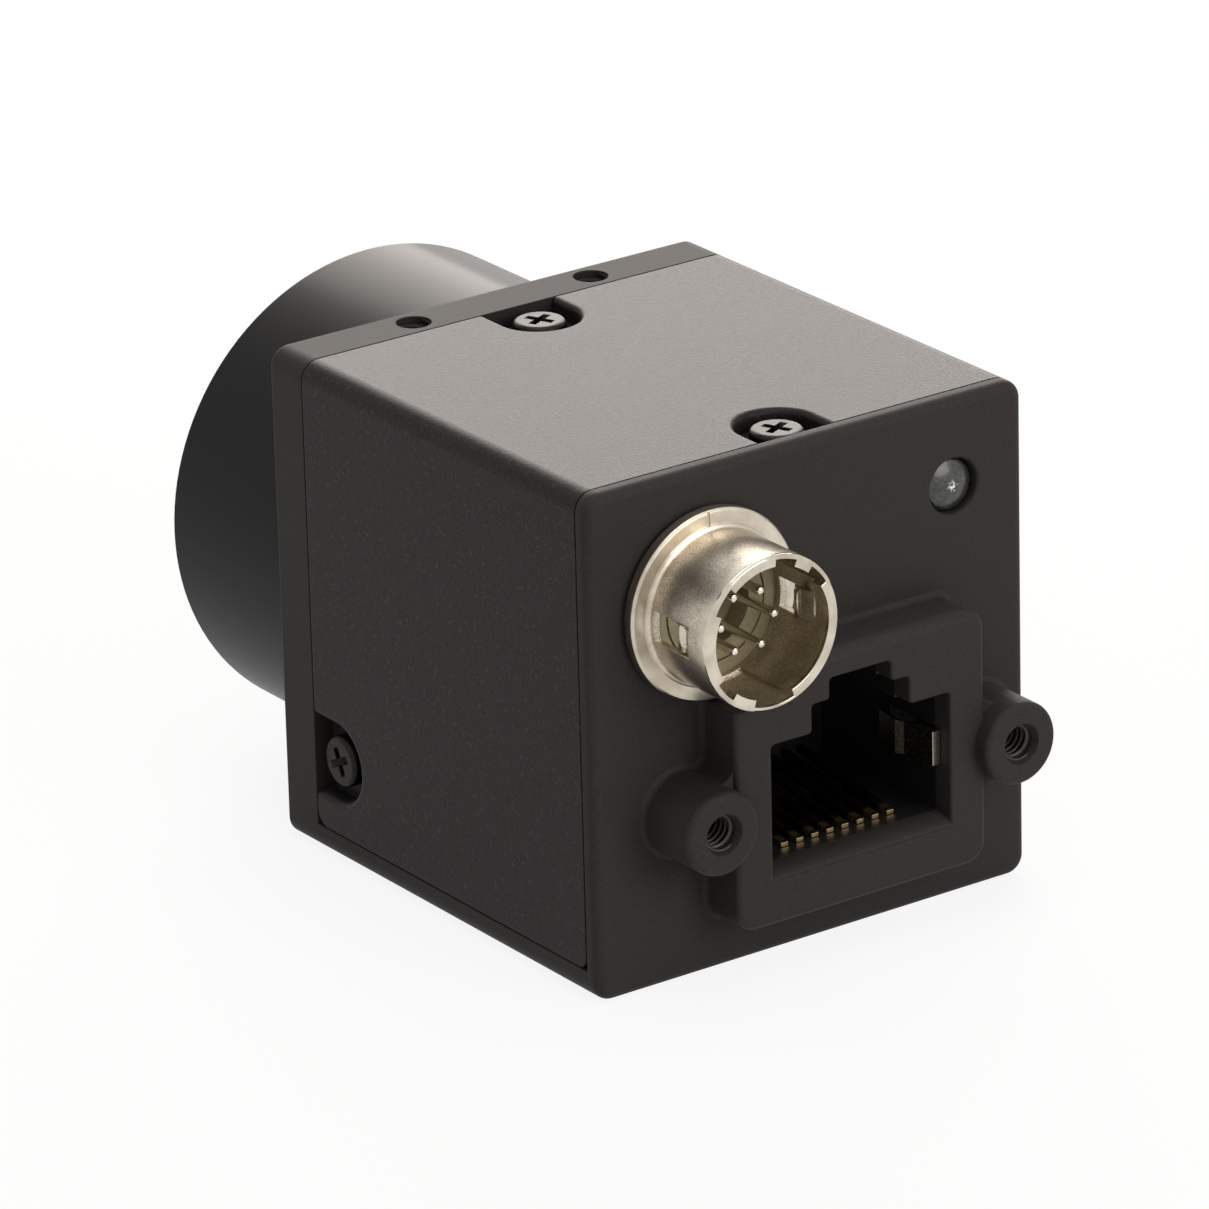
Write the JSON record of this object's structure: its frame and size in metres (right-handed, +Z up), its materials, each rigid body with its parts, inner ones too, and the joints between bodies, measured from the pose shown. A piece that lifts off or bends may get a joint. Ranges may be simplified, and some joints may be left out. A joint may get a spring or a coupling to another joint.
{
  "type": "machine vision camera",
  "caption": "Small cube camera with a threaded lens mount in front, and a network socket, a round connector and a status light on its rear plate.",
  "frame": {"origin": "centre of the lens mount's flange face, on the optical axis", "axes": "-Y is the way the camera looks, +Y runs back to the connectors, +Z is up, and +X is the camera's left side seen from behind it, on the side of the round connector"},
  "size_m": [0.029, 0.0481, 0.029],
  "materials": {
    "anodised_ring": "bead blasted, black anodised",
    "coated_casting": "cast, satin black coat",
    "coated_sheet": "folded sheet, fine black powder coat",
    "black_screw": "blackened steel",
    "nickel_shell": "satin nickel plate on brass",
    "nickel_sheet": "nickel plated sheet",
    "black_rubber": "moulded",
    "beige_insulator": "moulded",
    "plated_pin": "bright plate",
    "gold_contact": "gold plate",
    "black_moulding": "moulded",
    "clear_moulding": "clear, polished",
    "white_chip": "moulded",
    "circuit_board": "solder mask",
    "standoff_steel": "turned",
    "chip_epoxy": "moulded",
    "ceramic_carrier": "fired",
    "silicon_die": "polished",
    "clear_glass": "polished",
    "filter_glass": "coated",
    "foam": "closed cell"
  },
  "bodies": {
    "root": {"lens_mount_ring": "anodised_ring", "front_housing": "coated_casting", "rear_plate": "coated_casting", "cover": "coated_sheet", "cover_screws": "black_screw", "base_screws": "black_screw", "io_shell": "nickel_shell", "io_ring_nut": "nickel_shell", "io_gasket": "black_rubber", "io_insulator": "beige_insulator", "io_pins": "plated_pin", "jack_housing": "black_moulding", "jack_contacts": "gold_contact", "jack_shield": "nickel_sheet", "light_pipe": "clear_moulding", "light_chip": "white_chip", "sensor_board": "circuit_board", "main_board": "circuit_board", "interface_board": "circuit_board", "front_standoffs": "standoff_steel", "rear_standoffs": "standoff_steel", "board_screws": "standoff_steel", "processor_chip": "chip_epoxy", "memory_chip": "chip_epoxy", "network_magnetics": "chip_epoxy", "power_transformer": "chip_epoxy", "sensor_board_plug": "black_moulding", "main_board_front_socket": "black_moulding", "main_board_rear_plug": "black_moulding", "interface_board_socket": "black_moulding", "sensor_package": "ceramic_carrier", "sensor_die": "silicon_die", "sensor_glass": "clear_glass", "sensor_gasket": "foam", "filter_glass": "filter_glass", "filter_gasket": "black_rubber", "filter_retainer": "anodised_ring"}
  },
  "joints": []
}
